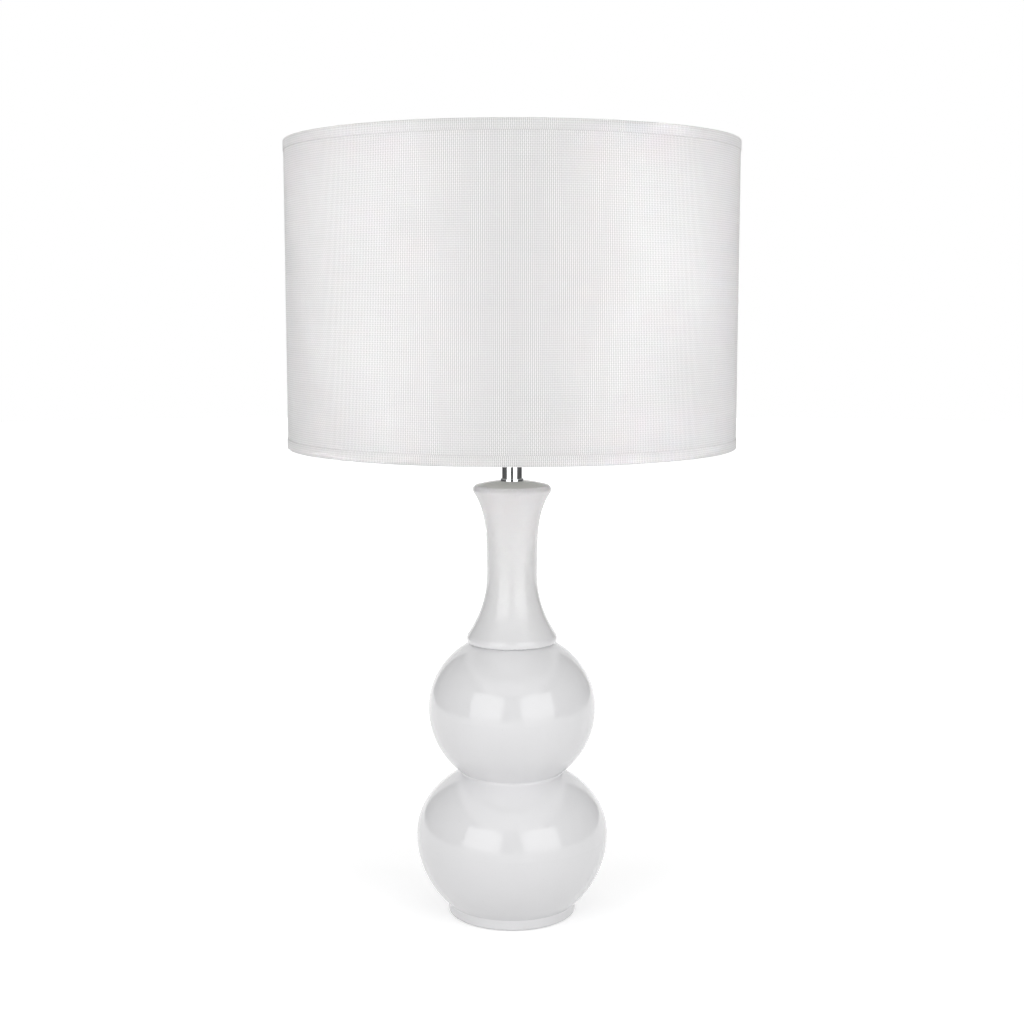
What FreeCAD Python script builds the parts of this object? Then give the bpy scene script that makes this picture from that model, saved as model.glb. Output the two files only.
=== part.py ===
import FreeCAD, Part
import math
import os

# Double gourd table lamp: a glazed ceramic body of two bulbs under a flared neck, a chrome tube,
# a bulb holder and a straight drum shade of fabric. Millimetres, +Z up, the origin on the table
# under the middle of the foot. The cord hole is at the back, towards +Y.

V = FreeCAD.Vector
UP = V(0, 0, 1)

# Clearances
moving_gap = 0.3      # between pieces that move past each other, and under what lifts off
screw_gap = 0.05      # round a screw thread, whose flanks are drawn as plain cylinders
glue_gap = 0.1        # between layers and pieces that are glued, welded or pressed together
hole_gap = 0.5        # round the rod in a drilled hole

# Ceramic body: heights are above the table
wall = 5.5
pad_thickness = 1.4
pad_proud = 0.3           # of the pad below the foot's rim
foot_radius = 51.4
foot_height = 9.3
foot_round = 2.2
foot_rim = 1.0            # between the rounded edge and the seat of the pad
foot_ring_width = 8.0
lower_radius = 76.65
lower_centre = 64.5
lower_rise = 59.4
lower_drop = 75.05
upper_radius = 66.65
upper_centre = 167.9
upper_rise = 60.65
upper_drop = 65.1
waist_round = 1.5
floor_height = 32.0
floor_thickness = 6.0
skirt_height = 223.9
skirt_radius = 35.9
skirt_round = 7.2
skirt_edge_round = 1.2
throat_height = 275.0
throat_radius = 19.95
neck_top = 347.0          # where the lip's rounding ends
neck_crown = 3.0          # of the domed top, from there up to the tube's seat
lip_radius = 30.9
lip_round = 3.8
top_plate = 6.0
lip_angle = 30.0          # of the neck's side from upright, where it meets the lip
skirt_angle = 27.0        # the same where it meets the skirt's edge
skirt_edge_angle = 15.0   # past level, where the skirt's edge turns under
lip_flare = 4.1           # how late the neck opens towards the lip, as a power of the height
skirt_flare = 2.1         # the same towards the skirt
flare_points = 6

# Cord hole and its bush
cord_height = 22.0
cord_bore = 3.6
bush_radius = 6.4
bush_flange_radius = 8.6
bush_flange = 1.8
bush_lip = 0.8
bush_seat_depth = 0.6

# Rod and what clamps it
rod_radius = 5.0
rod_bore = 3.6
rod_end_below_nut = 4.0
nut_width = 17.0
nut_height = 5.0
lock_washer_radius = 9.0
lock_washer_thickness = 1.6
plate_washer_radius = 20.0
plate_washer_thickness = 2.0
rubber_washer_radius = 17.0
rubber_washer_thickness = 2.5
tube_flange_radius = 9.15
tube_flange_height = 2.0
tube_radius = 8.0
tube_wall = 1.0
tube_length = 24.0
tube_bush_height = 8.0

# Bulb holder
cap_height = 20.0
cap_boss_radius = 8.6
cap_boss_height = 8.0
rod_in_cap = 9.0
holder_wall = 2.2
holder_radius = 19.5
holder_skirt_height = 35.0
thread_pitch = 2.5
thread_depth = 0.7
block_height = 13.0
grub_radius = 1.5
grub_length = 3.4
terminal_radius = 2.0
terminal_offset = 10.0
contact_thickness = 0.5
contact_width = 6.0
shell_radius = 13.4       # inside of the screw shell
shell_wall = 0.4
shell_height = 24.0

# Shade rings
shade_ring_radius = 27.5
shade_ring_flange = 2.0
shade_ring_collar = 5.0
shade_ring_wall = 2.6
shade_ring_grips = 12
grip_radius = 1.2

# Shade
shade_radius = 175.0
shade_above_neck = 30.5   # of the shade's bottom edge over the neck's top
shade_bottom = neck_top + shade_above_neck
shade_height = 233.1
fabric_thickness = 0.6
liner_thickness = 0.5
hem_thickness = 0.4
hem_height = 7.5
wire_radius = 1.5
fitter_height = 25.5      # of the fitter's underside above the shade's bottom edge
fitter_bore = 21.0
fitter_margin = 2.0       # of the fitter past the rings that hold it
fitter_thickness = 1.8
arm_radius = 1.75
arm_count = 3

# Light bulb
bulb_tip_gap = 0.5
bulb_cap_radius = 13.05
bulb_cap_height = 23.0
bulb_thread_pitch = 3.63
bulb_thread_depth = 0.8
bulb_insulator_height = 3.0
bulb_insulator_radius = 9.5
bulb_tip_radius = 4.5
bulb_tip_height = 1.5
bulb_radius = 18.5
bulb_housing_height = 20.0
bulb_diffuser_height = 66.0
bulb_wall = 1.2
led_board_thickness = 1.6


def disc(radius, bottom, height):
    return Part.makeCylinder(radius, height, V(0, 0, bottom))


def ring(outer, inner, bottom, height):
    return disc(outer, bottom, height).cut(disc(inner, bottom - 1, height + 2))


def spin(edges):
    """The solid swept round the Z axis by a closed outline in the XZ plane."""
    outline = Part.Wire(Part.__sortEdges__(edges))
    return Part.Face(outline).revolve(V(), UP, 360)


def turned(points):
    """The same for an outline of straight lines through (radius, height) points."""
    corners = [V(radius, 0, height) for radius, height in points]
    return Part.Face(Part.makePolygon(corners + corners[:1])).revolve(V(), UP, 360)


def on_circle(centre, radius, angle):
    """A point in the XZ plane at an angle from the X axis towards the Z axis."""
    turn = math.radians(angle)
    return centre + V(radius * math.cos(turn), 0, radius * math.sin(turn))


def arc(centre, radius, start, end):
    middle = (start + end) / 2
    points = [on_circle(centre, radius, angle) for angle in (start, middle, end)]
    return Part.Arc(*points).toShape()


def line(start, end):
    return Part.makeLine(start, end)


def around(shape, count, start=0.0):
    """Copies of a shape at even steps about the Z axis."""
    copies = []
    for i in range(count):
        copy = shape.copy()
        copy.rotate(V(), UP, start + 360.0 * i / count)
        copies.append(copy)
    return copies


# ---- Ceramic body


def quarter_ellipse(radius, centre, height):
    """From the widest circle to the pole. A negative height is a pole below."""
    middle = V(0, 0, centre)
    widest = V(radius, 0, centre)
    pole = V(0, 0, centre + height)
    if radius >= abs(height):
        return Part.Ellipse(widest, pole, middle).toShape(0, math.pi / 2)
    return Part.Ellipse(pole, widest, middle).toShape(0, math.pi / 2)


def bulb_body(radius, centre, rise, drop):
    """Two half ellipses that share their widest circle, spun into a solid."""
    top = quarter_ellipse(radius, centre, rise)
    bottom = quarter_ellipse(radius, centre, -drop)
    return spin([top, bottom, line(V(0, 0, centre - drop), V(0, 0, centre + rise))])


def lower_side(height):
    """The lower bulb's radius at a height."""
    reach = lower_rise if height > lower_centre else lower_drop
    share = (height - lower_centre) / reach
    return lower_radius * math.sqrt(max(0.0, 1 - share * share))


def upper_side(height):
    reach = upper_rise if height > upper_centre else upper_drop
    share = (height - upper_centre) / reach
    return upper_radius * math.sqrt(max(0.0, 1 - share * share))


def waist():
    """Height and radius of the circle where the two bulbs meet."""
    low = max(lower_centre, upper_centre - upper_drop)
    high = min(upper_centre, lower_centre + lower_rise)
    for _ in range(40):
        middle = (low + high) / 2
        if lower_side(middle) > upper_side(middle):
            low = middle
        else:
            high = middle
    return low, upper_side(low)


def seat_height():
    return neck_top + neck_crown


def neck_side(inset):
    """The neck's flaring side from its skirt to its lip, moved inwards by inset."""
    start = on_circle(V(skirt_radius - skirt_round, 0, skirt_height), skirt_round, skirt_angle)
    end = on_circle(V(lip_radius - lip_round, 0, neck_top - lip_round), lip_round, -lip_angle)
    points = []
    for i in range(-flare_points, flare_points + 1):
        share = abs(i) / flare_points
        target = end if i > 0 else start
        power = lip_flare if i > 0 else skirt_flare
        radius = throat_radius + (target.x - throat_radius) * share**power
        height = throat_height + (target.z - throat_height) * share
        points.append(V(radius - inset, 0, height))
    curve = Part.BSplineCurve()
    curve.interpolate(points)
    return points[0], points[-1], curve.toShape()


def neck_body():
    """The solid neck: a rounded skirt, a waisted throat, a rounded lip and a domed top with a flat seat."""
    start, end, side = neck_side(0)
    skirt_middle = V(skirt_radius - skirt_round, 0, skirt_height)
    turn_under = on_circle(skirt_middle, skirt_round, -skirt_edge_angle)
    edge_middle = on_circle(skirt_middle, skirt_round - skirt_edge_round, -skirt_edge_angle)
    under = edge_middle - V(0, 0, skirt_edge_round)
    lip_middle = V(lip_radius - lip_round, 0, neck_top - lip_round)
    top = lip_middle + V(0, 0, lip_round)
    axis_bottom = V(0, 0, under.z)
    seat = V(tube_flange_radius + hole_gap, 0, seat_height())
    axis_top = V(0, 0, seat_height())
    dome_middle = (top + seat) / 2 + V(0, 0, neck_crown / 6)
    return spin([
        line(axis_bottom, under),
        arc(edge_middle, skirt_edge_round, -90, -skirt_edge_angle),
        arc(skirt_middle, skirt_round, -skirt_edge_angle, skirt_angle),
        side,
        arc(lip_middle, lip_round, -lip_angle, 90),
        Part.Arc(top, dome_middle, seat).toShape(),
        line(seat, axis_top),
        line(axis_top, axis_bottom),
    ])


def neck_hollow():
    """The space inside the neck, open at the bottom into the upper bulb."""
    start, end, side = neck_side(wall)
    foot = V(start.x, 0, upper_centre + upper_rise / 2)
    hollow = spin([
        side,
        line(end, V(0, 0, end.z)),
        line(V(0, 0, end.z), V(0, 0, foot.z)),
        line(V(0, 0, foot.z), foot),
        line(foot, start),
    ])
    under_top = neck_top - top_plate
    return hollow.common(disc(lip_radius, foot.z, under_top - foot.z))


def pad_radius():
    return foot_radius - foot_round - foot_rim - hole_gap


def foot_ring():
    """The solid foot with its rounded lower edge and the shallow seat of the pad."""
    foot = disc(foot_radius, pad_proud, foot_height - pad_proud)
    rim = [edge for edge in foot.Edges if edge.BoundBox.ZMax < pad_proud + 0.1]
    seat = disc(pad_radius() + hole_gap, 0, pad_thickness + glue_gap)
    return foot.makeFillet(foot_round, rim).cut(seat)


def hollow_inside():
    """Everything that is empty inside the body, above and below its raised floor."""
    lower = bulb_body(lower_radius - wall, lower_centre, lower_rise - wall, lower_drop - wall)
    lower = lower.common(disc(lower_radius, foot_height, lower_centre + lower_rise))
    upper = bulb_body(upper_radius - wall, upper_centre, upper_rise - wall, upper_drop - wall)
    waist_height, waist_radius = waist()
    passage = disc(waist_radius - wall, waist_height - wall, 2 * wall)
    mouth = disc(foot_radius - foot_ring_width, 0, foot_height + wall)
    hollow = lower.fuse([upper, passage, neck_hollow(), mouth])
    return hollow.cut(disc(lower_radius, floor_height, floor_thickness))


def cord_hole_place():
    """Where the cord hole meets the rear wall, square to it: a point and its outward normal."""
    radius = lower_side(cord_height)
    reach = lower_rise if cord_height > lower_centre else lower_drop
    normal = V(0, radius / lower_radius**2, (cord_height - lower_centre) / reach**2)
    return V(0, radius, cord_height), normal.normalize()


def ceramic_body():
    waist_height, waist_radius = waist()
    lower = bulb_body(lower_radius, lower_centre, lower_rise, lower_drop)
    lower = lower.common(disc(lower_radius + 1, foot_height - 1, lower_centre + lower_rise))
    upper = bulb_body(upper_radius, upper_centre, upper_rise, upper_drop)
    body = foot_ring().fuse([lower, upper, neck_body()])
    crease = []
    for edge in body.Edges:
        box = edge.BoundBox
        if abs(box.ZMax - waist_height) < 0.5 and abs(box.ZMin - waist_height) < 0.5:
            crease.append(edge)
    body = body.makeFillet(waist_round, crease)
    body = body.cut(hollow_inside())
    body = body.cut(disc(rod_radius + hole_gap, floor_height - 1, seat_height()))
    place, normal = cord_hole_place()
    hole_length = 3 * wall
    hole = Part.makeCylinder(bush_radius + glue_gap, hole_length, place - normal * (hole_length - wall), normal)
    seat = Part.makeCylinder(bush_flange_radius + hole_gap, wall, place - normal * bush_seat_depth, normal)
    return body.cut(hole.fuse(seat))


def cord_grommet():
    """A flanged bush with a snap lip, drawn upright and then laid into the hole."""
    outside = bush_flange - bush_seat_depth
    shank = -(wall + hole_gap)
    end = shank - bush_flange
    bush = turned([
        (cord_bore, outside),
        (bush_flange_radius, outside),
        (bush_flange_radius, -bush_seat_depth),
        (bush_radius, -bush_seat_depth),
        (bush_radius, shank),
        (bush_radius + bush_lip, shank),
        (bush_radius, end),
        (cord_bore, end),
    ])
    place, normal = cord_hole_place()
    bush.Placement = FreeCAD.Placement(place, FreeCAD.Rotation(UP, normal))
    return bush


def foot_pad():
    return disc(pad_radius(), 0, pad_thickness)


# ---- Rod, its nut and washers, and the chrome tube


def rubber_washer_bottom():
    return floor_height - rubber_washer_thickness


def plate_washer_bottom():
    return rubber_washer_bottom() - plate_washer_thickness


def lock_washer_bottom():
    return plate_washer_bottom() - lock_washer_thickness


def nut_bottom():
    return lock_washer_bottom() - nut_height


def tube_bottom():
    return seat_height() + tube_flange_height


def tube_top():
    return tube_bottom() + tube_length


def threaded_rod():
    bottom = nut_bottom() - rod_end_below_nut
    return ring(rod_radius, rod_bore, bottom, tube_top() + rod_in_cap - bottom)


def washer(radius, bottom, thickness):
    return ring(radius, rod_radius + glue_gap, bottom, thickness)


def bottom_lock_washer():
    """A spring washer, split on one side."""
    whole = washer(lock_washer_radius, lock_washer_bottom(), lock_washer_thickness)
    split = Part.makeBox(lock_washer_radius, 1, nut_height, V(0, -0.5, lock_washer_bottom() - 1))
    return whole.cut(split)


def bottom_nut():
    corner = nut_width / math.sqrt(3)
    corners = [on_circle(V(), corner, 60 * i) for i in range(6)]
    flat = [V(point.x, point.z, nut_bottom()) for point in corners]
    hexagon = Part.Face(Part.makePolygon(flat + flat[:1])).extrude(V(0, 0, nut_height))
    return hexagon.cut(disc(rod_radius + screw_gap, nut_bottom() - 1, nut_height + 2))


def tube_flange():
    """The seat under the tube, with a spigot that centres the tube."""
    plate = ring(tube_flange_radius, rod_radius + glue_gap, seat_height(), tube_flange_height)
    rim = [edge for edge in plate.Edges if edge.BoundBox.ZMin > tube_bottom() - 0.1]
    rim = [edge for edge in rim if edge.BoundBox.XMax > rod_radius + 1]
    return plate.makeFillet(tube_flange_height / 4, rim)


def neck_tube():
    return ring(tube_radius, tube_radius - tube_wall, tube_bottom(), tube_length)


def tube_bushes():
    """Two plain bushes between the tube and the rod, one at each end."""
    bushes = []
    for bottom in (tube_bottom(), tube_top() - tube_bush_height):
        bushes.append(ring(tube_radius - tube_wall - glue_gap, rod_radius + glue_gap, bottom, tube_bush_height))
    return Part.makeCompound(bushes)


# ---- Bulb holder


def skirt_bottom():
    return tube_top() + cap_height


def skirt_top():
    return skirt_bottom() + holder_skirt_height


def cap_cone_top():
    """Height where the cap's hollow reaches its full width."""
    return tube_top() + cap_boss_height + holder_radius - cap_boss_radius - holder_wall


def block_bottom():
    return cap_cone_top() + glue_gap


def block_top():
    return block_bottom() + block_height


def block_radius():
    return holder_radius - thread_depth - holder_wall - glue_gap


def fitter_bottom():
    return shade_bottom + fitter_height


def fitter_radius():
    return shade_ring_radius + fitter_margin


def lampholder_cap():
    """A turned cap with a boss for the rod and an open top that the skirt closes."""
    bottom = tube_top()
    shoulder = bottom + cap_boss_height
    cone_top = cap_cone_top()
    top = skirt_bottom()
    inner = block_radius() + glue_gap
    return turned([
        (rod_radius + screw_gap, bottom),
        (cap_boss_radius, bottom),
        (cap_boss_radius, shoulder - holder_wall),
        (holder_radius, cone_top - holder_wall),
        (holder_radius, top),
        (inner, top),
        (inner, cone_top),
        (cap_boss_radius, shoulder),
        (rod_radius + screw_gap, shoulder),
    ]).cut(grub_hole())


def grub_place():
    return V(0, rod_radius + screw_gap, tube_top() + (cap_boss_height - holder_wall) / 2)


def grub_hole():
    return Part.makeCylinder(grub_radius + screw_gap, cap_boss_radius, grub_place(), V(0, 1, 0))


def cap_grub_screw():
    screw = Part.makeCylinder(grub_radius, grub_length, grub_place(), V(0, 1, 0))
    slot_depth = grub_length / 4
    corner = grub_place() + V(-grub_radius, grub_length - slot_depth, -grub_radius / 5)
    return screw.cut(Part.makeBox(2 * grub_radius, grub_length, grub_radius * 2 / 5, corner))


def screw_threads(radius, depth, bottom, top, pitch):
    """Points down a thread's side from top to bottom, a crest in the middle of each pitch."""
    count = int((top - bottom) / pitch)
    points = []
    for i in range(count):
        height = top - i * pitch
        points.append((radius - depth, height - pitch / 4))
        points.append((radius, height - pitch / 2))
        points.append((radius - depth, height - pitch * 3 / 4))
    return points


def lampholder_skirt():
    """The holder's threaded outer shell, open at the top for the bulb."""
    bottom = skirt_bottom()
    top = skirt_top()
    inner = block_radius() + glue_gap
    root = holder_radius - thread_depth
    threads = screw_threads(holder_radius, thread_depth, bottom + 1, top - 1, thread_pitch)
    return turned([(inner, top), (root, top)] + threads + [(root, bottom), (inner, bottom)])


def terminal_block():
    """The insulating block, with a hole for each terminal screw and one for the leads."""
    block = disc(block_radius(), block_bottom(), block_height)
    for x in (-terminal_offset, terminal_offset):
        screw = Part.makeCylinder(terminal_radius + screw_gap, block_height / 2, V(x, 0, block_bottom() - 1))
        block = block.cut(screw)
    lead_hole = Part.makeCylinder(rod_bore / 2, block_height + 2, V(0, terminal_offset, block_bottom() - 1))
    return block.cut(lead_hole)


def terminal_screws():
    screws = []
    for x in (-terminal_offset, terminal_offset):
        head_height = terminal_radius / 2
        head = Part.makeCylinder(terminal_radius * 1.6, head_height, V(x, 0, block_bottom() - head_height))
        shank = Part.makeCylinder(terminal_radius, block_height / 3, V(x, 0, block_bottom()))
        slot = Part.makeBox(terminal_radius * 4, terminal_radius / 3, head_height / 2,
                            V(x - terminal_radius * 2, -terminal_radius / 6, block_bottom() - head_height))
        screws.append(head.fuse(shank).cut(slot))
    return Part.makeCompound(screws)


def bulb_bottom():
    return block_top() + 4 * contact_thickness + 2 * bulb_tip_gap


def centre_contact():
    """A springy brass tongue under the bulb's tip, bent up in the middle."""
    half = contact_width
    low = block_top()
    high = bulb_bottom() - bulb_tip_gap
    thick = contact_thickness
    outline = [
        (-half, low),
        (-half, low + thick),
        (-half / 2, low + thick),
        (-half / 4, high),
        (half / 4, high),
        (half / 4, high - thick),
        (-half / 5, high - thick),
        (-half / 2.2, low),
    ]
    corners = [V(x, -contact_width / 4, z) for x, z in outline]
    return Part.Face(Part.makePolygon(corners + corners[:1])).extrude(V(0, contact_width / 2, 0))


def side_contact():
    """A flat brass tongue that stands on the block and bears on the screw shell."""
    start = V(-contact_width / 2, shell_radius + shell_wall + glue_gap, block_top())
    return Part.makeBox(contact_width, contact_thickness, shell_height / 2, start)


def screw_shell():
    """The thin shell that takes the bulb's thread, with a flange that stands on the block."""
    bottom = block_top()
    flange = ring(shell_radius + shell_wall, 2 * contact_width - shell_wall, bottom, shell_wall)
    return flange.fuse(ring(shell_radius + shell_wall, shell_radius, bottom, shell_height))


# ---- Shade rings: one under the fitter, one above it


def shade_ring(inner, flange_bottom, collar_bottom):
    """A flange and a collar with grip ribs, round the holder's thread."""
    flange = ring(shade_ring_radius, inner, flange_bottom, shade_ring_flange)
    collar_radius = inner + shade_ring_wall
    collar = ring(collar_radius, inner, collar_bottom, shade_ring_collar)
    rib = Part.makeCylinder(grip_radius, shade_ring_collar, V(collar_radius, 0, collar_bottom))
    return flange.fuse([collar] + around(rib, shade_ring_grips))


def shade_rest_ring():
    top = fitter_bottom() - moving_gap
    flange_bottom = top - shade_ring_flange
    return shade_ring(holder_radius + screw_gap, flange_bottom, flange_bottom - shade_ring_collar)


def shade_clamp_ring():
    bottom = fitter_bottom() + fitter_thickness + moving_gap
    return shade_ring(holder_radius + moving_gap, bottom, bottom + shade_ring_flange)


# ---- Shade


def shade_top():
    return shade_bottom + shade_height


def fabric_radius():
    return shade_radius - hem_thickness - glue_gap


def liner_radius():
    return fabric_radius() - fabric_thickness - glue_gap


def wire_centre():
    return liner_radius() - liner_thickness - glue_gap - wire_radius


def hem_inside():
    return wire_centre() - wire_radius - glue_gap - hem_thickness


def edge_inset():
    """From the shade's edge to the end of the fabric and the wire under the hem."""
    return hem_thickness + glue_gap


def shade_fabric():
    height = shade_height - 2 * edge_inset()
    return ring(fabric_radius(), fabric_radius() - fabric_thickness, shade_bottom + edge_inset(), height)


def shade_liner():
    height = shade_height - 2 * edge_inset()
    return ring(liner_radius(), liner_radius() - liner_thickness, shade_bottom + edge_inset(), height)


def wire_ring(height):
    return Part.makeTorus(wire_centre(), wire_radius, V(0, 0, height))


def bottom_wire_height():
    return shade_bottom + edge_inset() + wire_radius


def top_wire_height():
    return shade_top() - edge_inset() - wire_radius


def hem_tape(edge, fold):
    """A tape folded over the shade's edge. The fold is 1 for the bottom edge and -1 for the top."""
    outer = shade_radius
    inner = hem_inside()
    inside_fold = edge + fold * hem_thickness
    end = edge + fold * hem_height
    return turned([
        (outer, edge),
        (outer, end),
        (outer - hem_thickness, end),
        (outer - hem_thickness, inside_fold),
        (inner + hem_thickness, inside_fold),
        (inner + hem_thickness, end),
        (inner, end),
        (inner, edge),
    ])


def arm_start():
    return V(fitter_radius() + 3 * glue_gap, 0, fitter_bottom() + fitter_thickness / 2)


def arm_end():
    return V(wire_centre() - wire_radius - 3 * glue_gap, 0, bottom_wire_height())


def arm(radius, start, end):
    way = end - start
    return Part.makeCylinder(radius, way.Length, start, way)


def bottom_hem_tape():
    """The lower hem, notched inside where the arms reach the wire."""
    hem = hem_tape(shade_bottom, 1)
    for notch in around(arm(arm_radius + moving_gap, arm_start(), arm_end()), arm_count, 90):
        hem = hem.cut(notch)
    return hem


def fitter_ring():
    return ring(fitter_radius(), fitter_bore, fitter_bottom(), fitter_thickness)


def fitter_arms():
    return Part.makeCompound(around(arm(arm_radius, arm_start(), arm_end()), arm_count, 90))


# ---- Light bulb, slim enough for the shade and its ring to lift over it


def cap_bottom():
    return bulb_bottom() + bulb_tip_height + bulb_insulator_height


def cap_top():
    return cap_bottom() + bulb_cap_height


def housing_top():
    return cap_top() + bulb_housing_height


def diffuser_top():
    return housing_top() + bulb_diffuser_height


def bulb_contact():
    return disc(bulb_tip_radius, bulb_bottom(), bulb_tip_height)


def bulb_insulator():
    bottom = bulb_bottom() + bulb_tip_height
    top = cap_bottom()
    return turned([(0, bottom), (bulb_tip_radius, bottom), (bulb_insulator_radius, top), (0, top)])


def bulb_screw_cap():
    """The threaded metal cap, a thin shell over the housing's spigot."""
    root = bulb_cap_radius - bulb_thread_depth
    inner = root - shell_wall
    threads = screw_threads(bulb_cap_radius, bulb_thread_depth, cap_bottom(), cap_top(), bulb_thread_pitch)
    return turned([
        (0, cap_bottom() + shell_wall),
        (inner, cap_bottom() + shell_wall),
        (inner, cap_top()),
        (root, cap_top()),
    ] + threads + [(root, cap_bottom()), (0, cap_bottom())])


def bulb_housing():
    """The opaque lower half of the bulb, with a spigot inside the screw cap."""
    inner = bulb_cap_radius - bulb_thread_depth - shell_wall - glue_gap
    bottom = cap_bottom() + shell_wall + glue_gap
    base = cap_top()
    top = housing_top()
    return turned([
        (inner - bulb_wall, bottom),
        (inner, bottom),
        (inner, base),
        (bulb_cap_radius + bulb_wall, base),
        (bulb_radius, base + bulb_housing_height * 0.6),
        (bulb_radius, top),
        (0, top),
        (0, top - bulb_wall),
        (inner - bulb_wall, top - bulb_wall),
    ])


def bulb_diffuser():
    """The frosted tube with a domed end, hollow round the light board."""
    bottom = housing_top()
    dome = diffuser_top() - bulb_radius
    inner = bulb_radius - bulb_wall
    outer_edge = arc(V(0, 0, dome), bulb_radius, 0, 90)
    inner_edge = arc(V(0, 0, dome), inner, 90, 0)
    return spin([
        line(V(bulb_radius, 0, bottom), V(bulb_radius, 0, dome)),
        outer_edge,
        line(V(0, 0, dome + bulb_radius), V(0, 0, dome + inner)),
        inner_edge,
        line(V(inner, 0, dome), V(inner, 0, bottom)),
        line(V(inner, 0, bottom), V(bulb_radius, 0, bottom)),
    ])


def bulb_led_board():
    """An upright board in the diffuser with a row of light chips on each face."""
    half = bulb_radius - bulb_wall - 2
    height = bulb_diffuser_height - bulb_radius
    corner = V(-half, -led_board_thickness / 2, housing_top())
    board = Part.makeBox(2 * half, led_board_thickness, height, corner)
    chip = half / 3
    for side in (-1, 1):
        for i in range(4):
            face = side * led_board_thickness / 2 - (chip / 4 if side < 0 else 0)
            place = V(-chip / 2, face, housing_top() + height * (i + 0.5) / 4)
            board = board.fuse(Part.makeBox(chip, chip / 4, chip, place))
    return board


NODES = {
    "foot_pad": foot_pad,
    "ceramic_body": ceramic_body,
    "cord_grommet": cord_grommet,
    "threaded_rod": threaded_rod,
    "bottom_nut": bottom_nut,
    "bottom_lock_washer": bottom_lock_washer,
    "bottom_plate_washer": lambda: washer(plate_washer_radius, plate_washer_bottom(), plate_washer_thickness),
    "bottom_rubber_washer": lambda: washer(rubber_washer_radius, rubber_washer_bottom(), rubber_washer_thickness),
    "tube_flange": tube_flange,
    "neck_tube": neck_tube,
    "tube_bushes": tube_bushes,
    "lampholder_cap": lampholder_cap,
    "cap_grub_screw": cap_grub_screw,
    "terminal_block": terminal_block,
    "terminal_screws": terminal_screws,
    "centre_contact": centre_contact,
    "side_contact": side_contact,
    "lampholder_skirt": lampholder_skirt,
    "screw_shell": screw_shell,
    "shade_rest_ring": shade_rest_ring,
    "shade_clamp_ring": shade_clamp_ring,
    "fitter_ring": fitter_ring,
    "fitter_arms": fitter_arms,
    "bottom_wire_ring": lambda: wire_ring(bottom_wire_height()),
    "top_wire_ring": lambda: wire_ring(top_wire_height()),
    "shade_liner": shade_liner,
    "shade_fabric": shade_fabric,
    "top_hem_tape": lambda: hem_tape(shade_top(), -1),
    "bottom_hem_tape": bottom_hem_tape,
    "bulb_diffuser": bulb_diffuser,
    "bulb_housing": bulb_housing,
    "bulb_led_board": bulb_led_board,
    "bulb_screw_cap": bulb_screw_cap,
    "bulb_insulator": bulb_insulator,
    "bulb_contact": bulb_contact,
}

os.makedirs("parts", exist_ok=True)
for name, make in NODES.items():
    make().exportStep(f"parts/{name}.step")
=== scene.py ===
import bmesh
import bpy
import math
from mathutils import Matrix, Vector


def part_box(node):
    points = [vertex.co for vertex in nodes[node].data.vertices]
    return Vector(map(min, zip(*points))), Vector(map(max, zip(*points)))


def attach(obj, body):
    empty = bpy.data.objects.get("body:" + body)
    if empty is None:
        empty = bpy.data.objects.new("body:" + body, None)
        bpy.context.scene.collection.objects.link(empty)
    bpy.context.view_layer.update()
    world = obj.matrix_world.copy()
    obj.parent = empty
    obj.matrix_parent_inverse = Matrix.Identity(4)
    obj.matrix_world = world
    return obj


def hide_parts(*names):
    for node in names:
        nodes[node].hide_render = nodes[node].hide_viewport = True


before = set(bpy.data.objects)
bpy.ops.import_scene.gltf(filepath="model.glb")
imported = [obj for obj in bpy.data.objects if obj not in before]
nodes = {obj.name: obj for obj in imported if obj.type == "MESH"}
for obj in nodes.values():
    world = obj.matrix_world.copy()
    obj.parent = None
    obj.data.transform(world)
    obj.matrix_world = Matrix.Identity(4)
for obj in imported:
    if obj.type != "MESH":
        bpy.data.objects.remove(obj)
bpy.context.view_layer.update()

# ---- Sizes, in metres, read from the frame or measured on the real thing

MM = 0.001
fabric_low, fabric_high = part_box("shade_fabric")
fabric_radius = fabric_high.x
liner_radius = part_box("shade_liner")[1].x
cloth_thickness = 0.2 * MM
seam_overlap = 11 * MM          # of the cloth's two ends at the back of the shade
seam_step = 0.45 * MM           # that the outer end stands proud
warp_pitch = 1.40 * MM          # of the cloth's upright threads
weft_pitch = 1.55 * MM          # of its level threads
hem_low, hem_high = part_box("bottom_hem_tape")
hem_radius = hem_high.x
hem_height = hem_high.z - hem_low.z
top_hem_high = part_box("top_hem_tape")[1].z
hem_thickness = 0.2 * MM
hem_round = 0.9 * MM
hem_lip = 0.3 * MM              # by which the tape's free edge turns in to the cloth
wire_low, wire_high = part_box("bottom_wire_ring")
wire_radius = (wire_high.z - wire_low.z) / 2
pad_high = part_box("foot_pad")[1]
pad_round = 0.5 * MM
cloth_columns, cloth_rows = 420, 24
hem_steps = 360
pad_steps = 128
floor_radius = 6.0
flat_reach, flat_height = 1.6, 1.8      # of the grey boards beside and behind the camera
flat_front, flat_depth = -2.3, 5.0
flat_lift = 0.01
camera_place = (0, -1.280, 0.486)
camera_tilt = 7.166             # degrees down from level
camera_lens = 57.41
camera_sensor = 36


# ---- Shader arithmetic


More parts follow.
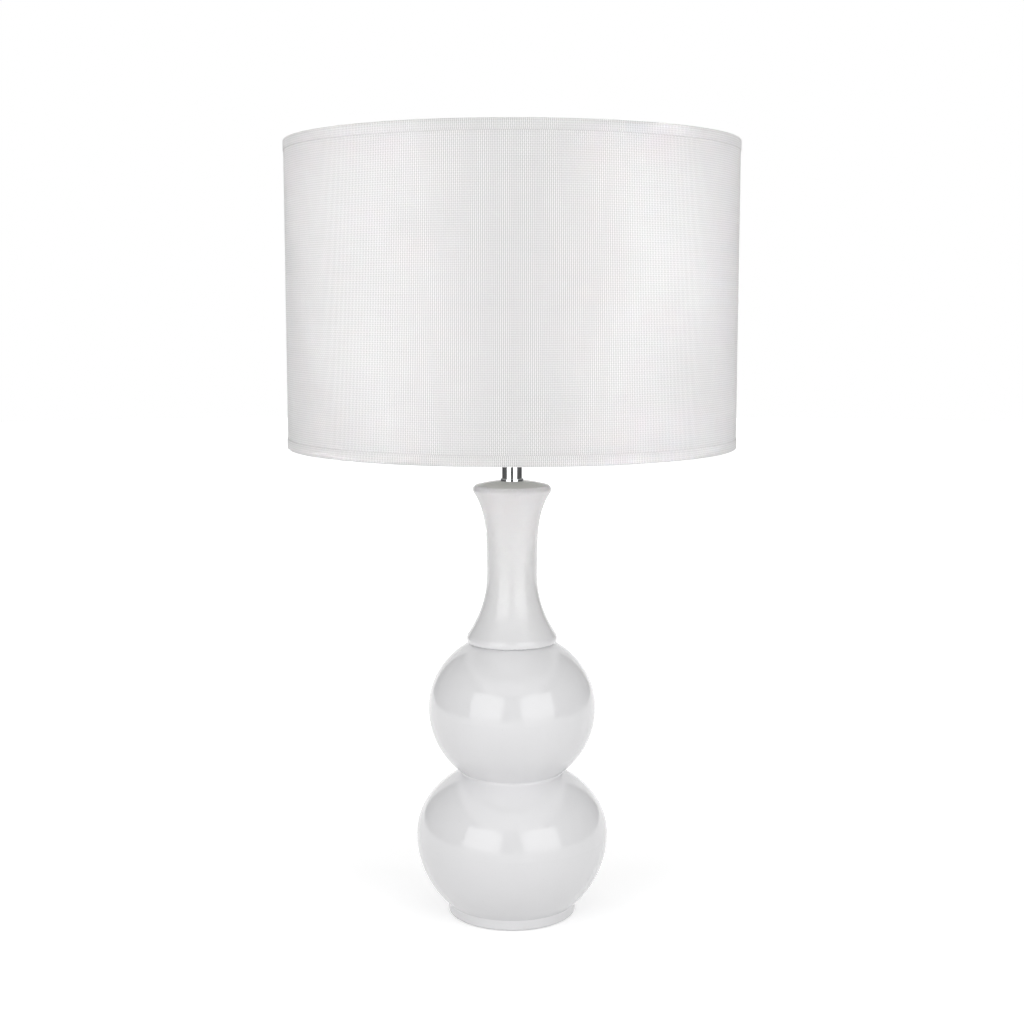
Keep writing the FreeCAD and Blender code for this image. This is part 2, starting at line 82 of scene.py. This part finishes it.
class Value:
    """One output in a material's nodes. Arithmetic on it adds Math nodes."""

    def __init__(self, finish, socket):
        self.finish = finish
        self.socket = socket

    def math(self, operation, *values):
        return self.finish.node("ShaderNodeMath", {"operation": operation}, dict(enumerate(values)))

    def __add__(self, other):
        return self.math("ADD", self, other)

    def __sub__(self, other):
        return self.math("SUBTRACT", self, other)

    def __rsub__(self, other):
        return self.math("SUBTRACT", other, self)

    def __mul__(self, other):
        return self.math("MULTIPLY", self, other)

    def __pow__(self, other):
        return self.math("POWER", self, other)

    __radd__ = __add__

    def sine(self):
        return self.math("SINE", self)

    def most(self, other):
        return self.math("MAXIMUM", self, other)

    def clamp(self):
        return self.finish.node("ShaderNodeClamp", {}, {"Value": self})


class Finish:
    """A material in the making, with one surface shader."""

    def __init__(self, name, **surface):
        self.material = bpy.data.materials.new(name)
        self.material.use_nodes = True
        self.tree = self.material.node_tree
        self.surface = self.tree.nodes["Principled BSDF"]
        for socket, value in surface.items():
            self.set(socket.replace("_", " ").title().replace("Ior", "IOR"), value)

    def node(self, kind, settings, values, output=0):
        """A node with its settings first and then its inputs, as one of its outputs."""
        made = self.tree.nodes.new(kind)
        for name, value in settings.items():
            setattr(made, name, value)
        for name, value in values.items():
            self.feed(made.inputs[name], value)
        return Value(self, made.outputs[output])

    def feed(self, socket, value):
        if isinstance(value, Value):
            self.tree.links.new(value.socket, socket)
        else:
            socket.default_value = value

    def set(self, socket, value):
        if not isinstance(value, Value) and socket == "Base Color":
            value = (*value, 1)
        self.feed(self.surface.inputs[socket], value)
        return self

    def place(self):
        return self.node("ShaderNodeTexCoord", {}, {}, "Object")

    def split(self, vector):
        """A vector's three numbers."""
        parts = self.node("ShaderNodeSeparateXYZ", {}, {"Vector": vector})
        outputs = parts.socket.node.outputs
        return [Value(self, outputs[axis]) for axis in "XYZ"]

    def join(self, x, y, z=0.0):
        return self.node("ShaderNodeCombineXYZ", {}, {"X": x, "Y": y, "Z": z})

    def noise(self, vector, scale, detail=3.0, roughness=0.5):
        values = {"Vector": vector, "Scale": scale, "Detail": detail, "Roughness": roughness}
        return self.node("ShaderNodeTexNoise", {}, values, "Fac")

    def mix(self, share, first, second):
        first = first if isinstance(first, Value) else (*first, 1)
        second = second if isinstance(second, Value) else (*second, 1)
        return self.node("ShaderNodeMix", {"data_type": "RGBA"}, {0: share, 6: first, 7: second}, 2)

    def bump(self, height, distance, strength=1.0):
        values = {"Height": height, "Distance": distance, "Strength": strength}
        self.set("Normal", self.node("ShaderNodeBump", {}, values))
        return self


# ---- Finishes


def glaze_finish():
    """White gloss glaze, greyed on the neck as painted shade under the lamp shade, and greyed again on the
    neck's top face as painted shade and painted reflection.
    """
    glaze = Finish("white_glaze", roughness=0.11, ior=1.5)
    place = glaze.place()
    height = glaze.split(place)[2]
    cloud = glaze.noise(place, 9.0, 2.0)
    speck = glaze.noise(place, 900.0, 1.0)
    # Painted shade: the neck is greyer where the lamp shade shades it. Its top face is greyer still, as
    # painted shade and a painted reflection of the dark surroundings.
    neck_painted_shade = ((height - 0.215) * 12.0).clamp()
    top = ((height - 0.3462) * 900.0).clamp()
    body = glaze.mix(cloud, (0.840, 0.838, 0.850), (0.854, 0.852, 0.862))
    body = glaze.mix(neck_painted_shade, body, (0.760, 0.757, 0.758))
    body = glaze.mix(top, body, (0.64, 0.64, 0.605))
    pinholes = ((speck - 0.72) * 12.0).clamp()
    glaze.set("Base Color", glaze.mix(pinholes * 0.25, body, (0.56, 0.55, 0.53)))
    glaze.set("Roughness", 0.09 + cloud * 0.05)
    ripple = glaze.noise(place, 28.0, 2.0) * 0.75 + glaze.noise(place, 260.0, 1.0) * 0.05
    return glaze.bump(ripple, 0.35 * MM, 0.35)


def chrome_finish():
    """Polished chrome plate with faint turning lines round the tube."""
    chrome = Finish("chrome_plate", base_color=(0.80, 0.81, 0.82), metallic=1.0, roughness=0.04)
    x, y, height = chrome.split(chrome.place())
    lines = chrome.noise(chrome.join(x * 3.0, y * 3.0, height * 400.0), 12.0, 2.0)
    chrome.set("Roughness", 0.03 + lines * 0.05)
    return chrome.bump(lines, 0.004 * MM, 0.3)


def zinc_finish():
    """Dull zinc plate, mottled like pressed hardware."""
    zinc = Finish("zinc_plate", metallic=1.0, roughness=0.38)
    place = zinc.place()
    mottle = zinc.noise(place, 420.0, 4.0)
    zinc.set("Base Color", zinc.mix(mottle, (0.50, 0.51, 0.52), (0.68, 0.68, 0.66)))
    zinc.set("Roughness", 0.26 + mottle * 0.25)
    return zinc.bump(mottle, 0.02 * MM, 0.5)


def rod_finish():
    """Zinc plate with the rod's fine thread as rings, its grooves painted darker as shade."""
    rod = Finish("rod_thread", metallic=1.0, roughness=0.35)
    place = rod.place()
    height = rod.split(place)[2]
    thread_and_groove_shade = (height * (2 * math.pi / (1.0 * MM))).sine() * 0.5 + 0.5
    mottle = rod.noise(place, 380.0, 3.0)
    # Painted shade: the thread's grooves are coloured darker than its crests.
    rod.set("Base Color", rod.mix(thread_and_groove_shade, (0.34, 0.34, 0.34), (0.66, 0.66, 0.65)))
    rod.set("Roughness", 0.28 + mottle * 0.2)
    return rod.bump(thread_and_groove_shade, 0.35 * MM, 0.8)


def brass_finish():
    brass = Finish("pressed_brass", metallic=1.0, roughness=0.3)
    place = brass.place()
    tarnish = brass.noise(place, 300.0, 4.0)
    brass.set("Base Color", brass.mix(tarnish, (0.60, 0.42, 0.18), (0.80, 0.62, 0.32)))
    brass.set("Roughness", 0.2 + tarnish * 0.25)
    return brass.bump(tarnish, 0.015 * MM, 0.4)


def nickel_finish():
    """Rolled and plated thin metal of the bulb's cap."""
    nickel = Finish("nickel_plate", metallic=1.0, roughness=0.25)
    place = nickel.place()
    x, y, height = nickel.split(place)
    lines = nickel.noise(nickel.join(x * 20.0, y * 20.0, height * 700.0), 3.0, 2.0)
    nickel.set("Base Color", nickel.mix(lines, (0.60, 0.59, 0.57), (0.76, 0.75, 0.73)))
    nickel.set("Roughness", 0.18 + lines * 0.16)
    return nickel.bump(lines, 0.01 * MM, 0.4)


def rubber_finish():
    rubber = Finish("black_rubber", roughness=0.75, specular_ior_level=0.35)
    place = rubber.place()
    bloom = rubber.noise(place, 160.0, 5.0)
    rubber.set("Base Color", rubber.mix(bloom, (0.018, 0.018, 0.018), (0.045, 0.044, 0.043)))
    rubber.set("Roughness", 0.62 + bloom * 0.25)
    return rubber.bump(bloom, 0.03 * MM, 0.6)


def moulded_finish(name, dark, light, rough, grain):
    """Moulded plastic with a fine spark-eroded grain."""
    plastic = Finish(name, roughness=rough, ior=1.47)
    place = plastic.place()
    skin = plastic.noise(place, grain, 3.0)
    flow = plastic.noise(place, 40.0, 2.0)
    plastic.set("Base Color", plastic.mix(flow, dark, light))
    plastic.set("Roughness", rough - 0.05 + skin * 0.12)
    return plastic.bump(skin, 0.02 * MM, 0.5)


def insulator_finish():
    """Unglazed steatite of the terminal block."""
    steatite = Finish("bare_steatite", roughness=0.7)
    place = steatite.place()
    grain = steatite.noise(place, 700.0, 5.0)
    steatite.set("Base Color", steatite.mix(grain, (0.66, 0.64, 0.60), (0.76, 0.74, 0.70)))
    steatite.set("Roughness", 0.6 + grain * 0.25)
    return steatite.bump(grain, 0.04 * MM, 0.6)


def powder_coat_finish():
    """White powder coat on the shade's wires, with its orange peel."""
    coat = Finish("white_powder_coat", roughness=0.35)
    place = coat.place()
    peel = coat.noise(place, 750.0, 2.0)
    coat.set("Base Color", coat.mix(peel, (0.76, 0.76, 0.755), (0.80, 0.80, 0.795)))
    coat.set("Roughness", 0.3 + peel * 0.15)
    return coat.bump(peel, 0.03 * MM, 0.5)


def liner_finish():
    """Translucent white sheet laminated behind the cloth, with the weave pressed into it."""
    liner = Finish("shade_lining", roughness=0.42, ior=1.46)
    place = liner.place()
    x, y, height = liner.split(place)
    around = liner.node("ShaderNodeMath", {"operation": "ARCTAN2"}, {0: y, 1: x}) * liner_radius
    press = weave_height(around, height)
    cloud = liner.noise(place, 14.0, 3.0)
    liner.set("Base Color", liner.mix(cloud, (0.80, 0.80, 0.79), (0.84, 0.84, 0.83)))
    liner.set("Roughness", 0.38 + cloud * 0.12)
    return liner.bump(press, 0.03 * MM, 0.4)


def weave_height(across, along):
    """Plain weave, 0 in the holes and 1 on the crowns. Upright threads stand higher than level ones."""
    warp = (across * (math.pi / warp_pitch)).sine()
    weft = (along * (math.pi / weft_pitch)).sine()
    over = warp * weft * 0.5 + 0.5
    warp_crown = warp * warp
    weft_crown = weft * weft
    return (warp_crown * (0.62 + over * 0.38)).most(weft_crown * (0.72 - over * 0.42))


def cloth_finish(name, dark, light, painted_hole_shade, relief, slub):
    """Woven cloth on the piece's own map, in metres. Threads wander and swell into slubs, and the holes
    between them are painted darker as shade.
    """
    cloth = Finish(name, roughness=0.82, specular_ior_level=0.3, sheen_weight=0.12, sheen_roughness=0.45)
    uv = cloth.node("ShaderNodeUVMap", {"uv_map": "cut"}, {})
    across, along, _ = cloth.split(uv)
    wander_across = cloth.noise(cloth.join(across * 240.0, along * 22.0), 1.0, 2.0) - 0.5
    wander_along = cloth.noise(cloth.join(across * 18.0, along * 260.0, 3.0), 1.0, 2.0) - 0.5
    threads = weave_height(across + wander_across * (warp_pitch * 0.35),
                           along + wander_along * (weft_pitch * 0.5))
    weft_slub = cloth.noise(cloth.join(across * 30.0, along * (0.5 / weft_pitch), 7.0), 1.0, 3.0)
    warp_slub = cloth.noise(cloth.join(across * (0.5 / warp_pitch), along * 24.0, 11.0), 1.0, 3.0)
    fuzz = cloth.noise(uv, 5200.0, 2.0)
    slubs = (weft_slub - 0.5) * slub + (warp_slub - 0.5) * (slub * 0.9)
    body = cloth.mix((0.5 + slubs + (fuzz - 0.5) * 0.3).clamp(), dark, light)
    # Painted shade: the holes between the threads are mixed towards grey, as the shade that falls into them.
    hole_shade_depth = (1.0 - threads) ** 1.3
    cloth.set("Base Color", cloth.mix((hole_shade_depth * painted_hole_shade).clamp(), body, (0.33, 0.33, 0.327)))
    cloth.set("Roughness", 0.9 - threads * 0.14)
    return cloth.bump(threads * 0.8 + slubs * 0.5 + fuzz * 0.12, relief, 0.7)


def felt_finish():
    felt = Finish("pale_felt", roughness=0.95, specular_ior_level=0.15, sheen_weight=0.3, sheen_roughness=0.5)
    place = felt.place()
    fibre = felt.noise(place, 1400.0, 5.0, 0.7)
    clump = felt.noise(place, 160.0, 3.0)
    felt.set("Base Color", felt.mix(fibre * 0.6 + clump * 0.4, (0.50, 0.50, 0.485), (0.72, 0.72, 0.70)))
    felt.set("Roughness", 0.88 + fibre * 0.1)
    return felt.bump(fibre * 0.6 + clump * 0.4, 0.25 * MM, 0.8)


def board_finish():
    """White solder mask of the light board, with the yellow phosphor of its chips."""
    board = Finish("light_board", roughness=0.35)
    place = board.place()
    x, y, height = board.split(place)
    thick = (y * y).math("SQRT", y * y)
    chips = ((thick - 0.95 * MM) * 8000.0).clamp()
    grain = board.noise(place, 900.0, 2.0)
    base = board.mix(grain, (0.74, 0.74, 0.73), (0.80, 0.80, 0.79))
    board.set("Base Color", board.mix(chips, base, (0.80, 0.62, 0.12)))
    return board.bump(grain, 0.01 * MM, 0.4)


# ---- Pieces modelled here


def new_piece(name, mesh, finish, body):
    """A finished mesh as an object at the origin, riding on a CAD body."""
    data = bpy.data.meshes.new(name)
    mesh.to_mesh(data)
    mesh.free()
    piece = bpy.data.objects.new(name, data)
    bpy.context.scene.collection.objects.link(piece)
    data.materials.append(finish.material)
    data.shade_smooth()
    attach(piece, body)
    return piece


def thicken(piece, thickness, offset):
    wall = piece.modifiers.new("wall", "SOLIDIFY")
    wall.thickness = thickness
    wall.offset = offset
    wall.use_even_offset = True
    return piece


def map_cut(mesh):
    """Keeps the flat cut's own X and Y, in metres, as the map that the weave follows."""
    layer = mesh.loops.layers.uv.new("cut")
    for face in mesh.faces:
        for loop in face.loops:
            loop[layer].uv = loop.vert.co.xy


def ease(share):
    """Smooth from 0 to 1, and flat at both ends."""
    share = max(0.0, share)
    return share * share * (3 - 2 * share)


def shade_cloth(finish):
    """One cut of cloth, rolled into a drum and glued down where its ends overlap at the back."""
    height = fabric_high.z - fabric_low.z
    width = 2 * math.pi * fabric_radius + seam_overlap
    mesh = bmesh.new()
    bmesh.ops.create_grid(mesh, x_segments=cloth_columns, y_segments=cloth_rows, size=0.5)
    bmesh.ops.scale(mesh, vec=(width, height, 1), verts=mesh.verts)
    map_cut(mesh)
    outer = fabric_radius - seam_step / 2
    ramp = 2 * seam_overlap
    for vert in mesh.verts:
        along = vert.co.x + width / 2
        lift = ease(1 - (width - along) / ramp)
        tuck = ease(1 - along / ramp)
        radius = outer + seam_step * (lift - tuck) / 2
        turn = along / fabric_radius + math.pi / 2
        up = fabric_low.z + height / 2 + vert.co.y
        vert.co = Vector((radius * math.cos(turn), radius * math.sin(turn), up))
    piece = new_piece("shade_cloth", mesh, finish, "shade")
    thicken(piece, cloth_thickness, -1)
    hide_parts("shade_fabric")
    return piece


def rounded_path(corners, radius, steps):
    """Points along a path in the XZ plane, with its inner corners rounded."""
    points = [Vector(corners[0])]
    for before, corner, after in zip(corners, corners[1:], corners[2:]):
        before, corner, after = Vector(before), Vector(corner), Vector(after)
        into = corner + (before - corner).normalized() * radius
        out = corner + (after - corner).normalized() * radius
        for i in range(steps + 1):
            share = i / steps
            points.append(into.lerp(corner, share).lerp(corner.lerp(out, share), share))
    points.append(Vector(corners[-1]))
    return points


def spin_path(points, steps):
    """A surface of revolution about the Z axis, from a path in the XZ plane."""
    mesh = bmesh.new()
    verts = [mesh.verts.new(point) for point in points]
    edges = [mesh.edges.new(pair) for pair in zip(verts, verts[1:])]
    bmesh.ops.spin(mesh, geom=verts + edges, cent=(0, 0, 0), axis=(0, 0, 1), angle=2 * math.pi,
                   steps=steps, use_merge=True, use_duplicate=False)
    bmesh.ops.remove_doubles(mesh, verts=mesh.verts, dist=1e-6)
    bmesh.ops.recalc_face_normals(mesh, faces=mesh.faces)
    return mesh


def map_tape(mesh, points):
    """Maps a spun tape by the way round the shade and the way across the tape."""
    reach = [0.0]
    for before, after in zip(points, points[1:]):
        reach.append(reach[-1] + (after - before).length)
    layer = mesh.loops.layers.uv.new("cut")
    for face in mesh.faces:
        middle = face.calc_center_median()
        centre_turn = math.atan2(middle.y, middle.x)
        for loop in face.loops:
            spot = loop.vert.co
            flat = Vector((spot.xy.length, 0, spot.z))
            nearest = min(range(len(points)), key=lambda i: (points[i] - flat).length_squared)
            turn = math.atan2(spot.y, spot.x)
            turn += 2 * math.pi * round((centre_turn - turn) / (2 * math.pi))
            loop[layer].uv = (turn * hem_radius, reach[nearest])


def hem_tape(name, finish, edge, fold):
    """Tape folded over the shade's edge and glued down outside and inside."""
    outer = fabric_radius + hem_thickness * 0.6
    inner = wire_low_radius() - 2 * hem_thickness
    end = edge + fold * hem_height
    near = edge + fold * hem_thickness / 2
    path = rounded_path([(outer, 0, end), (outer, 0, near), (inner, 0, near), (inner, 0, end)], hem_round, 5)
    lip = path[0] + Vector((-hem_thickness, 0, fold * hem_lip))
    points = [lip] + path
    mesh = spin_path(points, hem_steps)
    map_tape(mesh, points)
    piece = new_piece(name, mesh, finish, "shade")
    thicken(piece, hem_thickness * 0.8, 0)
    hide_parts(name.replace("_cloth", "_tape"))
    across = sum((after - before).length for before, after in zip(points, points[1:]))
    return piece


def wire_low_radius():
    """Inner radius of the wire ring that the hem goes round."""
    return wire_high.x - 2 * wire_radius


def foot_felt(finish):
    """The pad under the foot, a disc with a soft cut edge."""
    radius = pad_high.x
    top = pad_high.z
    points = rounded_path([(0, 0, top), (radius, 0, top), (radius, 0, 0), (0, 0, 0)], pad_round, 3)
    piece = new_piece("foot_felt", spin_path(points, pad_steps), finish, "base")
    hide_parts("foot_pad")
    return piece


# ---- Studio


def area_lamp(name, azimuth, distance, height, size, power, target=(0, 0, 0.30), spread=180, lights=True,
              mirrored=True):
    """A softbox at an angle from straight in front, right of it where the angle is positive."""
    data = bpy.data.lights.new(name, "AREA")
    data.shape = "RECTANGLE"
    data.size, data.size_y = size
    data.energy = power
    data.spread = math.radians(spread)
    lamp = bpy.data.objects.new(name, data)
    bpy.context.scene.collection.objects.link(lamp)
    turn = math.radians(azimuth)
    place = Vector((distance * math.sin(turn), -distance * math.cos(turn), height))
    way = Vector(target) - place
    lamp.matrix_world = Matrix.Translation(place) @ way.to_track_quat("-Z", "Y").to_matrix().to_4x4()
    lamp.visible_camera = False
    lamp.visible_diffuse = lights
    lamp.visible_glossy = mirrored


def shade_strip(name, azimuth, power):
    """A tall strip light with a grid, aimed at one side of the shade's front."""
    turn = math.radians(azimuth)
    middle = (fabric_low.z + fabric_high.z) / 2
    target = (fabric_radius * math.sin(turn), -fabric_radius * math.cos(turn), middle)
    area_lamp(name, azimuth, 1.9, middle, (0.04, 0.32), power, target, spread=9, mirrored=False)


def dark_flat(name, corner, across, height):
    """A grey board outside the picture, as studios set up to give white ware its edges."""
    mesh = bmesh.new()
    corner, across = Vector(corner), Vector(across)
    up = Vector((0, 0, height))
    corners = (corner, corner + across, corner + across + up, corner + up)
    mesh.faces.new([mesh.verts.new(place) for place in corners])
    data = bpy.data.meshes.new(name)
    mesh.to_mesh(data)
    mesh.free()
    board = bpy.data.objects.new(name, data)
    bpy.context.scene.collection.objects.link(board)
    data.materials.append(Finish(name + "_paint", base_color=(0.16, 0.16, 0.16), roughness=1.0,
                                 specular_ior_level=0.0).material)
    board.visible_camera = False


def seen_straight(tree):
    """1 where the camera, a reflection or a clear surface sees the backdrop, and else 0."""
    path = tree.nodes.new("ShaderNodeLightPath")
    seen = path.outputs["Is Camera Ray"]
    for ray in ("Is Glossy Ray", "Is Transmission Ray"):
        either = tree.nodes.new("ShaderNodeMath")
        either.operation = "MAXIMUM"
        tree.links.new(seen, either.inputs[0])
        tree.links.new(path.outputs[ray], either.inputs[1])
        seen = either.outputs[0]
    return seen


def studio_world(level):
    """A white backdrop to look at, and a plain grey room to light with."""
    world = bpy.data.worlds.new("studio")
    bpy.context.scene.world = world
    world.use_nodes = True
    tree = world.node_tree
    back = tree.nodes["Background"]
    back.inputs["Color"].default_value = (1, 1, 1, 1)
    strength = tree.nodes.new("ShaderNodeMix")
    strength.inputs[2].default_value = level
    strength.inputs[3].default_value = 1.0
    tree.links.new(seen_straight(tree), strength.inputs[0])
    tree.links.new(strength.outputs[0], back.inputs["Strength"])


def studio_floor(near_glow, far_glow, reach):
    """A pale floor. Its glow grows with distance, so that only the near shadow shows on it."""
    mesh = bmesh.new()
    bmesh.ops.create_circle(mesh, cap_ends=True, radius=floor_radius, segments=64)
    data = bpy.data.meshes.new("floor")
    mesh.to_mesh(data)
    mesh.free()
    floor = bpy.data.objects.new("floor", data)
    bpy.context.scene.collection.objects.link(floor)
    paint = Finish("floor_paint", base_color=(0.80, 0.80, 0.80), roughness=1.0, specular_ior_level=0.0)
    tree = paint.tree
    away = paint.node("ShaderNodeVectorMath", {"operation": "LENGTH"}, {0: paint.place()}, "Value")
    far = (away * (1 / reach)).clamp()
    level = near_glow + far * (far_glow - near_glow)
    glow = paint.node("ShaderNodeEmission", {}, {"Color": level, "Strength": 1.0})
    lit = tree.nodes.new("ShaderNodeAddShader")
    tree.links.new(paint.surface.outputs[0], lit.inputs[0])
    tree.links.new(glow.socket, lit.inputs[1])
    choice = tree.nodes.new("ShaderNodeMixShader")
    tree.links.new(seen_straight(tree), choice.inputs[0])
    tree.links.new(paint.surface.outputs[0], choice.inputs[1])
    tree.links.new(lit.outputs[0], choice.inputs[2])
    tree.links.new(choice.outputs[0], tree.nodes["Material Output"].inputs["Surface"])
    data.materials.append(paint.material)


def studio_camera():
    data = bpy.data.cameras.new("camera")
    data.sensor_width = camera_sensor
    data.lens = camera_lens
    data.clip_start = 0.01
    camera = bpy.data.objects.new("camera", data)
    bpy.context.scene.collection.objects.link(camera)
    camera.location = camera_place
    camera.rotation_euler = (math.radians(90 - camera_tilt), 0, 0)
    bpy.context.scene.camera = camera


# ---- Making


strip_azimuth, strip_power = 37, 0.052

# Each pair's name, degrees from straight in front, distance, height, size, watts and what it does
LAMPS = [
    ("softbox", 36, 1.5, 0.58, (1.3, 1.05), 10, {"lights": False}),
    ("key", 40, 1.5, 0.58, (1.0, 1.0), 8.2, {"mirrored": False}),
    ("side", 78, 1.4, 0.80, (0.5, 0.7), 2.3, {"mirrored": False}),
    ("back", 135, 1.5, 0.80, (0.7, 0.9), 1.5, {"mirrored": False}),
]

FINISHES = {
    glaze_finish: ["ceramic_body"],
    chrome_finish: ["tube_flange", "neck_tube"],
    rod_finish: ["threaded_rod"],
    zinc_finish: ["bottom_nut", "bottom_lock_washer", "bottom_plate_washer", "cap_grub_screw"],
    rubber_finish: ["bottom_rubber_washer"],
    brass_finish: ["terminal_screws", "centre_contact", "side_contact", "screw_shell"],
    insulator_finish: ["terminal_block"],
    powder_coat_finish: ["fitter_ring", "fitter_arms", "bottom_wire_ring", "top_wire_ring"],
    liner_finish: ["shade_liner"],
    nickel_finish: ["bulb_screw_cap", "bulb_contact"],
    board_finish: ["bulb_led_board"],
}

MOULDED = {
    ("holder_plastic", (0.74, 0.74, 0.73), (0.78, 0.78, 0.77), 0.35, 900.0):
        ["lampholder_cap", "lampholder_skirt", "shade_rest_ring", "shade_clamp_ring"],
    ("bush_plastic", (0.72, 0.72, 0.71), (0.76, 0.76, 0.75), 0.40, 1200.0): ["cord_grommet", "tube_bushes"],
    ("bulb_housing_plastic", (0.78, 0.78, 0.77), (0.81, 0.81, 0.80), 0.30, 1000.0): ["bulb_housing"],
    ("frosted_diffuser", (0.82, 0.82, 0.81), (0.85, 0.85, 0.84), 0.50, 2000.0): ["bulb_diffuser"],
    ("black_glass", (0.010, 0.010, 0.012), (0.020, 0.020, 0.022), 0.12, 200.0): ["bulb_insulator"],
}


def paint(name, finish):
    """Gives a CAD node its finish in every one of its material slots."""
    node = nodes[name]
    node.data.materials.clear()
    node.data.materials.append(finish.material)


def main():
    studio_camera()
    studio_world(level=0.67)
    studio_floor(near_glow=0.42, far_glow=0.72, reach=1.2)
    for name, azimuth, distance, height, size, power, seen in LAMPS:
        area_lamp("left_" + name, -azimuth, distance, height, size, power, **seen)
        area_lamp("right_" + name, azimuth, distance, height, size, power, **seen)
    shade_strip("left_strip", -strip_azimuth, strip_power)
    shade_strip("right_strip", strip_azimuth, strip_power)
    dark_flat("left_flat", (-flat_reach, flat_front, flat_lift), (0, flat_depth, 0), flat_height)
    dark_flat("right_flat", (flat_reach, flat_front, flat_lift), (0, flat_depth, 0), flat_height)
    dark_flat("camera_flat", (-flat_reach, flat_front, flat_lift), (2 * flat_reach, 0, 0), flat_height)
    for make, names in FINISHES.items():
        finish = make()
        for name in names:
            paint(name, finish)
    for recipe, names in MOULDED.items():
        finish = moulded_finish(*recipe)
        for name in names:
            paint(name, finish)
    linen = cloth_finish("shade_linen", dark=(0.86, 0.86, 0.858), light=(0.945, 0.945, 0.943),
                         painted_hole_shade=0.80, relief=0.18 * MM, slub=0.38)
    shade_cloth(linen)
    tape = cloth_finish("hem_tape", dark=(0.85, 0.85, 0.848), light=(0.93, 0.93, 0.928),
                        painted_hole_shade=0.74, relief=0.10 * MM, slub=0.3)
    hem_tape("bottom_hem_cloth", tape, hem_low.z, 1)
    hem_tape("top_hem_cloth", tape, top_hem_high, -1)
    foot_felt(felt_finish())
    bpy.context.scene.view_settings.view_transform = "Standard"


main()
